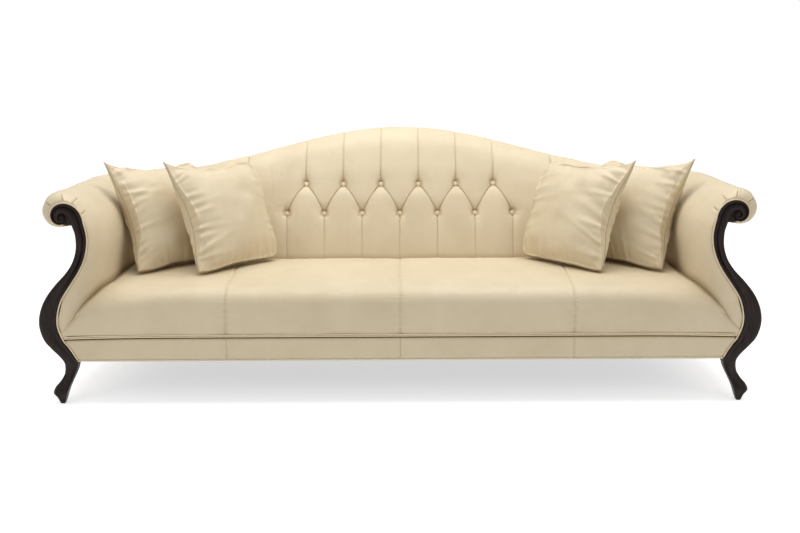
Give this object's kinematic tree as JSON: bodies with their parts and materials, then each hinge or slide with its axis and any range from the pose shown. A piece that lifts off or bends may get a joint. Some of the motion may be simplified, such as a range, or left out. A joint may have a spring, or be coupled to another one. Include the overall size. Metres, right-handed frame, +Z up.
{
  "type": "camelback sofa",
  "caption": "Long leather camelback sofa with a button-tufted back, carved S-shaped arm stumps ending in volutes, cabriole feet, a tight crowned seat and loose square pillows.",
  "frame": {"origin": "On the floor under the middle of the sofa's outer box.", "axes": "+X along the sofa to the sitter's left as seen from the front, -Y to the front, +Z up."},
  "size_m": [2.902, 0.9391, 1.0398],
  "materials": {
    "espresso_wood": "satin",
    "frame_wood": "matte",
    "jute_webbing": "matte",
    "black_cambric": "matte",
    "ivory_leather": "satin"
  },
  "bodies": {
    "sofa": {"arm_stump_right": "espresso_wood", "arm_stump_left": "espresso_wood", "rear_leg_post_right": "espresso_wood", "rear_leg_post_left": "espresso_wood", "front_rail": "frame_wood", "rear_rail": "frame_wood", "side_rail_right": "frame_wood", "side_rail_left": "frame_wood", "arm_rail_right": "frame_wood", "arm_rail_left": "frame_wood", "arm_top_rail_right": "frame_wood", "arm_top_rail_left": "frame_wood", "crest_rail": "frame_wood", "back_tacking_rail": "frame_wood", "back_upright_right": "frame_wood", "back_upright_left": "frame_wood", "seat_stretcher_right": "frame_wood", "seat_stretcher_left": "frame_wood", "front_corner_block_right": "frame_wood", "front_corner_block_left": "frame_wood", "rear_corner_block_right": "frame_wood", "rear_corner_block_left": "frame_wood", "webbing_across_1": "jute_webbing", "webbing_across_2": "jute_webbing", "webbing_across_3": "jute_webbing", "webbing_across_4": "jute_webbing", "webbing_along_1": "jute_webbing", "webbing_along_2": "jute_webbing", "dust_cover": "black_cambric", "seat_cushion": "ivory_leather", "front_border": "ivory_leather", "inside_arm_right": "ivory_leather", "inside_arm_left": "ivory_leather", "inside_wing_right": "ivory_leather", "inside_wing_left": "ivory_leather", "tufted_back": "ivory_leather", "outside_arm_right": "ivory_leather", "outside_arm_left": "ivory_leather", "outside_back": "ivory_leather", "back_button_1": "ivory_leather", "back_button_2": "ivory_leather", "back_button_3": "ivory_leather", "back_button_4": "ivory_leather", "back_button_5": "ivory_leather", "back_button_6": "ivory_leather", "back_button_7": "ivory_leather", "back_button_8": "ivory_leather", "back_button_9": "ivory_leather", "back_button_10": "ivory_leather", "back_button_11": "ivory_leather", "back_button_12": "ivory_leather", "back_button_13": "ivory_leather", "arm_welt_right": "ivory_leather", "arm_welt_left": "ivory_leather", "seat_double_welt": "ivory_leather", "bottom_welt": "ivory_leather"},
    "inner_pillow_left": {"inner_pillow_left": "ivory_leather"},
    "inner_pillow_right": {"inner_pillow_right": "ivory_leather"},
    "outer_pillow_left": {"outer_pillow_left": "ivory_leather"},
    "outer_pillow_right": {"outer_pillow_right": "ivory_leather"}
  },
  "joints": [
    {"name": "inner_pillow_left_lift", "type": "slide", "parent": "sofa", "child": "inner_pillow_left", "axis": [-0.2904, 0.2615, 0.9205], "range_m": [0, 0.4]},
    {"name": "inner_pillow_right_lift", "type": "slide", "parent": "sofa", "child": "inner_pillow_right", "axis": [0.2904, 0.2615, 0.9205], "range_m": [0, 0.4]},
    {"name": "outer_pillow_left_lift", "type": "slide", "parent": "sofa", "child": "outer_pillow_left", "axis": [-0.2904, 0.2615, 0.9205], "range_m": [0, 0.4]},
    {"name": "outer_pillow_right_lift", "type": "slide", "parent": "sofa", "child": "outer_pillow_right", "axis": [0.2904, 0.2615, 0.9205], "range_m": [0, 0.4]}
  ]
}
